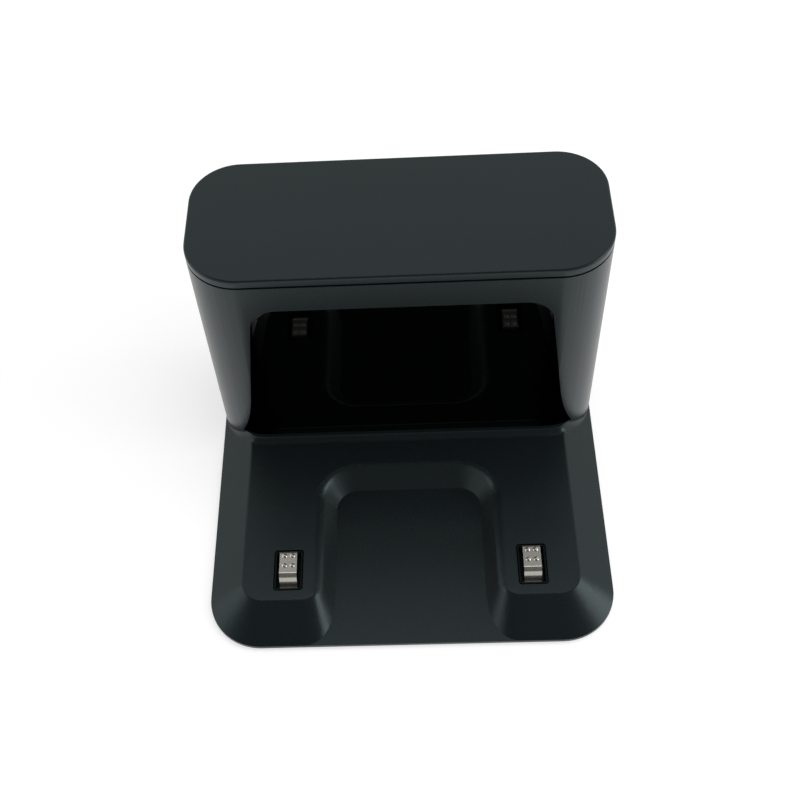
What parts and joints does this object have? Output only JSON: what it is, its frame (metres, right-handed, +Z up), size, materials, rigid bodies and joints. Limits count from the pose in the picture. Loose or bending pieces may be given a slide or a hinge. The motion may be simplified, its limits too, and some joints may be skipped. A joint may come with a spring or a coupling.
{
  "type": "robot vacuum charging dock",
  "caption": "Dark charging dock for a robot vacuum: rounded tower with a black beacon window over a sloped deck with sprung metal contacts and an open caster bay.",
  "frame": {"origin": "middle of the footprint, on the surface that the dock stands on", "axes": "+X to the dock's right seen from the front, +Y to its back, +Z up"},
  "size_m": [0.15, 0.145, 0.104],
  "materials": {
    "housing_plastic": "fine satin texture",
    "window_gloss": "polished black",
    "frame_plastic": "satin black",
    "contact_metal": "nickel plated, finely brushed",
    "foot_rubber": "matte",
    "screw_steel": "zinc plated",
    "spring_steel": "drawn wire",
    "terminal_brass": "rolled sheet",
    "inlet_plastic": "satin black",
    "board_laminate": "solder mask",
    "core_ferrite": "sintered, with a taped winding",
    "can_aluminium": "sleeved can",
    "sink_aluminium": "extruded",
    "choke_copper": "enamelled winding",
    "fuse_body": "capped tube",
    "led_epoxy": "tinted lens",
    "lead_sleeve": "flexible insulation",
    "ribbon_film": "flat cable"
  },
  "bodies": {
    "dock": {"main_housing": "housing_plastic", "top_cover": "housing_plastic", "base_plate": "housing_plastic", "ir_window": "window_gloss", "base_screws": "screw_steel", "power_inlet": "inlet_plastic", "inlet_pins": "contact_metal", "psu_board": "board_laminate", "transformer": "core_ferrite", "bulk_capacitor": "can_aluminium", "output_capacitors": "can_aluminium", "heat_sink": "sink_aluminium", "choke": "choke_copper", "fuse": "fuse_body", "ir_board": "board_laminate", "ir_leds": "led_epoxy", "ir_baffle": "frame_plastic", "inlet_leads": "lead_sleeve", "ir_ribbon": "ribbon_film", "foot_front_left": "foot_rubber", "foot_front_right": "foot_rubber", "foot_rear_left": "foot_rubber", "foot_rear_right": "foot_rubber", "contact_frame_left": "frame_plastic", "contact_spring_left": "spring_steel", "contact_terminal_left": "terminal_brass", "contact_lead_left": "lead_sleeve", "contact_frame_right": "frame_plastic", "contact_spring_right": "spring_steel", "contact_terminal_right": "terminal_brass", "contact_lead_right": "lead_sleeve"},
    "contact_left": {"contact_plate_left": "contact_metal", "contact_plunger_left": "frame_plastic"},
    "contact_right": {"contact_plate_right": "contact_metal", "contact_plunger_right": "frame_plastic"}
  },
  "joints": [
    {"name": "contact_left_press", "type": "slide", "parent": "dock", "child": "contact_left", "axis": [0, 0, -1], "range_m": [0, 0.0016], "stiffness_N_per_m": 400, "springref_m": -0.0012, "deforming": ["contact_spring_left"]},
    {"name": "contact_right_press", "type": "slide", "parent": "dock", "child": "contact_right", "axis": [0, 0, -1], "range_m": [0, 0.0016], "stiffness_N_per_m": 400, "springref_m": -0.0012, "deforming": ["contact_spring_right"]}
  ]
}
